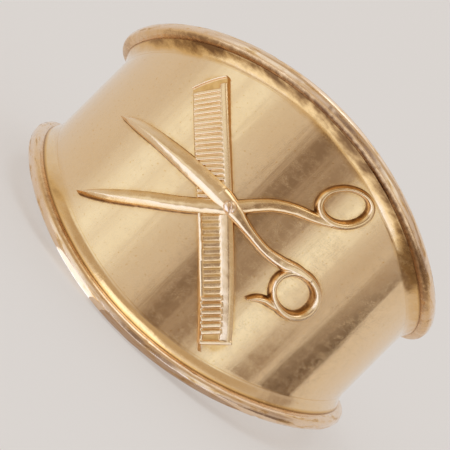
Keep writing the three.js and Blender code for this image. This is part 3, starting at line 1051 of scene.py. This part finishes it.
BACKDROP = (0.716, 0.687, 0.665, 1)
FLOOR_COLOR = (0.42, 0.405, 0.395, 1)
FLOOR_HALF = 1.5  # in metres
FLOOR_GLOW = 0.55


def make_floor():
    """A pale floor with a glow of its own, so that shadows stay faint."""
    half = FLOOR_HALF
    corners = [(-half, -half, 0), (half, -half, 0), (half, half, 0), (-half, half, 0)]
    floor = make_object("floor", corners, [(0, 1, 2, 3)], smooth=False)
    material = bpy.data.materials.new("pale_floor")
    material.use_nodes = True
    shader = material.node_tree.nodes["Principled BSDF"]
    shader.inputs["Base Color"].default_value = FLOOR_COLOR
    shader.inputs["Roughness"].default_value = 0.9
    shader.inputs["Specular IOR Level"].default_value = 0.0
    shader.inputs["Emission Color"].default_value = BACKDROP
    shader.inputs["Emission Strength"].default_value = FLOOR_GLOW
    floor.data.materials.append(material)


CARD_SHADING = (1.0, 11.0)
REFLECTOR = (1.2, 1.4, 1.95)
LIP = (1.3, 1.4, 1.6)


def wall_color(level):
    """The studio is browner where it is darker and cooler where it is brighter."""
    return (level, level * (0.66 + 0.43 * level), level * (0.46 + 0.68 * level))


def make_card(name, corners, low_color, high_color=None):
    """A studio card in millimetres that shows only in reflections, shaded from low to high."""
    faces = [tuple(range(len(corners)))]
    card = make_object(name, np.array(corners) * MM, faces, smooth=False)
    material = bpy.data.materials.new(name)
    material.use_nodes = True
    tree = material.node_tree
    tree.nodes.clear()
    nodes = Nodes(tree)
    glow = nodes.add("ShaderNodeEmission")
    split = nodes.add("ShaderNodeSeparateXYZ")
    nodes.link(nodes.position(), split.inputs[0])
    rise = nodes.map_range(split.outputs["Z"], *CARD_SHADING)
    color = nodes.mix(rise, (*low_color, 1), (*(high_color or low_color), 1))
    nodes.feed(glow, {"Color": color, "Strength": 1.0})
    nodes.link(glow.outputs[0], nodes.add("ShaderNodeOutputMaterial").inputs["Surface"])
    card.data.materials.append(material)
    card.visible_camera = False
    card.visible_diffuse = False
    card.visible_shadow = False
    card.visible_transmission = False


def make_cards():
    """Dark flags and a strip to the ring's right, and a bright reflector and two lips in front."""
    flag = [(72, -19, 0.2), (69, 19, 0.2), (69, 19, 26), (72, -3, 26), (72, -4, 9)]
    low_flag = [(63, -37, 0.2), (71, -20.5, 0.2), (71, -20.5, 10.5), (63, -37, 10.5)]
    strip_on_floor = [(13, -9, 0.1), (13, -3, 0.1), (69, 19, 0.1), (72, -19, 0.1)]
    make_card("dark_flag", flag, wall_color(0.14), wall_color(0.5))
    make_card("low_dark_flag", low_flag, wall_color(0.33))
    make_card("dark_strip", strip_on_floor, wall_color(0.22))
    reflector = [(-40, -52, 0.3), (44, -52, 0.3), (40, -13.5, 0.3), (-36, -13.5, 0.3)]
    lip = [(-7.0, -14, 0.03), (-2.4, -14, 0.03), (-2.0, -9.7, 0.03), (-4.9, -8.5, 0.03)]
    dark_lip = [(-1.4, -13.4, 0.03), (9, -13.4, 0.03), (7.2, -7.0, 0.03), (-1.2, -9.8, 0.03)]
    make_card("floor_reflector", reflector, REFLECTOR)
    make_card("reflector_lip", lip, LIP)
    make_card("dark_lip", dark_lip, wall_color(0.42))


# How bright the studio is round the ring's bore axis, by degrees to the right of the face.
STUDIO_SWEEP = [
    (-180, 0.72), (-112, 0.74), (-98, 0.68), (-88, 0.7), (-77, 0.82), (-66, 0.98), (-59, 0.93),
    (-55, 0.82), (-48, 0.95), (-38, 0.92), (-32, 0.75), (-22, 0.69), (-9, 0.66), (-5, 0.55),
    (-1, 0.33), (7, 0.23), (13, 0.3), (17, 0.44), (22, 0.32), (29, 0.36), (35, 0.6), (48, 1.0),
    (58, 0.85), (68, 0.66), (76, 0.6), (85, 0.66), (91, 0.45), (106, 0.4), (112, 0.7), (180, 0.72),
]
SWEEP_TOP = 0.3
BELT_FADE = 0.12
CEILING_FROM = 0.78
CEILING_FULL = 0.9
BELT = (0.55, 0.46, 0.35, 1)
CEILING = (0.9, 0.9, 0.92, 1)


def make_world():
    """A pale room whose wall has bright and dark upright stripes, with a dim belt above them."""
    world = bpy.data.worlds.new("studio")
    bpy.context.scene.world = world
    world.use_nodes = True
    nodes = Nodes(world.node_tree)
    background = world.node_tree.nodes["Background"]
    coordinates = nodes.add("ShaderNodeTexCoord")
    upright = nodes.add("ShaderNodeVectorRotate", rotation_type="X_AXIS")
    nodes.feed(upright, {"Vector": coordinates.outputs["Generated"], "Angle": REST_LEAN})
    split = nodes.add("ShaderNodeSeparateXYZ")
    nodes.link(upright.outputs[0], split.inputs[0])
    forward = nodes.math("MULTIPLY", split.outputs["Y"], -1.0)
    azimuth = nodes.math("ARCTAN2", split.outputs["X"], forward)
    share = nodes.map_range(azimuth, -math.pi, math.pi)
    stops = [((degrees + 180) / 360, wall_color(level)) for degrees, level in STUDIO_SWEEP]
    sweep = nodes.ramp(share, stops)
    rise = split.outputs["Z"]
    belt = nodes.map_range(rise, SWEEP_TOP, SWEEP_TOP + BELT_FADE)
    belt = nodes.math("MULTIPLY", belt, nodes.map_range(forward, 0.0, 0.3))
    belted = nodes.mix(belt, sweep, BELT)
    above = nodes.mix(nodes.map_range(rise, CEILING_FROM, CEILING_FULL), belted, CEILING)
    seen = nodes.add("ShaderNodeLightPath").outputs["Is Camera Ray"]
    shown = nodes.mix(seen, above, BACKDROP)
    nodes.feed(background, {"Color": shown, "Strength": 1.0})


SOFTBOX_COLOR = (0.8, 0.92, 1.0)


def make_softbox(name, azimuth, elevation, distance, size, radiance):
    """A square area light aimed at the ring. Azimuth is degrees to the right of the face."""
    a, e = math.radians(azimuth), math.radians(elevation)
    back = Vector((math.sin(a) * math.cos(e), -math.cos(a) * math.cos(e), math.sin(e)))
    data = bpy.data.lights.new(name, "AREA")
    data.shape = "SQUARE"
    data.size = size
    data.energy = radiance * math.pi * size**2
    data.color = SOFTBOX_COLOR
    light = bpy.data.objects.new(name, data)
    light.location = back * distance + Vector((0, 0, RING_LIFT * MM))
    light.rotation_mode = "QUATERNION"
    light.rotation_quaternion = (-back).to_track_quat("-Z", "Y")
    bpy.context.scene.collection.objects.link(light)


def make_studio():
    make_world()
    make_floor()
    make_cards()
    make_softbox(
        "softbox_top", azimuth=-15, elevation=78, distance=0.8, size=0.35, radiance=0.88
    )


# ---------------------------------------------------------------- assembly


def finish_piece(obj, material, slot, *nodes):
    """Gives a piece its material, ties it to the root body, and hides the frame's nodes that it
    stands for.
    """
    obj.data.materials.clear()
    obj.data.materials.append(material)
    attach(obj, "root")
    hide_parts(*nodes)


def make_thimble():
    # The scissors and the comb get tarnish and painted shade low down on their walls.
    on_scissors = relief_tarnish_and_shade(top=0.43, bottom=0.12, strength=0.95)
    on_comb_teeth = relief_tarnish_and_shade(top=0.235, bottom=0.195, strength=0.5)
    band_metal = worn_metal("band_gold", GOLD, 0.09, 2.0, band_tarnish_and_shade, lines_um=3.2)
    wire_metal = worn_metal("wire_gold", ROSE_GOLD, 0.13, 2.5, wire_tarnish_and_shade, scratch_density=0.4)
    screw_metal = worn_metal("screw_gold", ROSE_GOLD, 0.14, 2.0, screw_tarnish)
    scissor_metal = worn_metal("scissor_gold", GOLD, 0.17, 2.5, on_scissors)
    comb_metal = worn_metal("comb_gold", GOLD, 0.22, 2.5, on_comb_teeth)

    band, s, z, outside = make_band()
    paint_band(band, s, z, outside)
    finish_piece(band, band_metal, "band", "band")
    for name, side, seed in (("upper_rim_wire", 1, 11), ("lower_rim_wire", -1, 23)):
        wire = make_rim_wire(name + "_worn", side, seed)
        finish_piece(wire, wire_metal, "rim_wire", name)
    finish_piece(make_comb(), comb_metal, "comb", "comb")
    finish_piece(make_under_half(), scissor_metal, "scissors", "scissor_half_under")
    finish_piece(make_over_half(), scissor_metal, "scissors", "scissor_half_over")
    finish_piece(make_pivot_screw(), screw_metal, "scissors", "pivot_screw")


make_camera()
make_studio()
make_thimble()
bpy.context.scene.view_settings.view_transform = "Standard"
